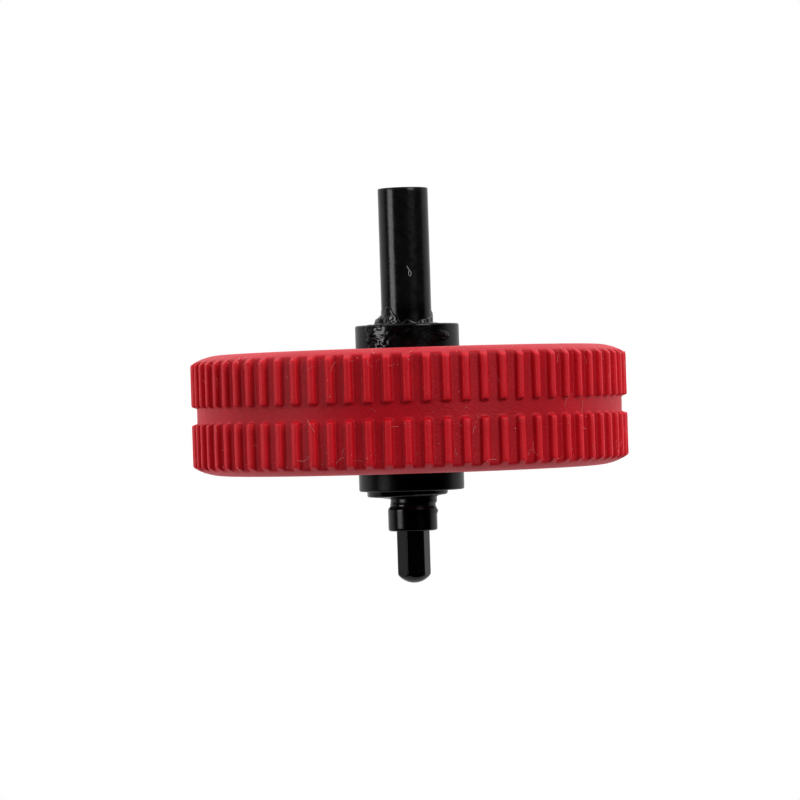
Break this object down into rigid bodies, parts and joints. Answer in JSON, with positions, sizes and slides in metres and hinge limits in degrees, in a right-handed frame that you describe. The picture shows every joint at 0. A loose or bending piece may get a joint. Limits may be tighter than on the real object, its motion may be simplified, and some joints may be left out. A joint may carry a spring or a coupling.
{
  "type": "mouse scroll wheel",
  "caption": "Scroll wheel for a computer mouse: ribbed rubber tyre on a black hub, with a round pivot on one side and a hexagonal encoder drive pin on the other.",
  "frame": {"origin": "centre of the wheel: on the spin axis, in the middle plane of the tyre", "axes": "+Z along the axle towards the long round pivot; the hexagonal drive pin points to -Z"},
  "size_m": [0.026, 0.026, 0.0237],
  "materials": {
    "tyre_rubber": "soft matte red elastomer",
    "hub_plastic": "black moulded plastic, slightly satin",
    "axle_plastic": "black moulded plastic, semi-gloss",
    "adhesive": "glossy clear adhesive over black"
  },
  "bodies": {
    "root": {"tyre": "tyre_rubber", "hub": "hub_plastic", "axle": "axle_plastic", "adhesive_bead": "adhesive"}
  },
  "joints": []
}
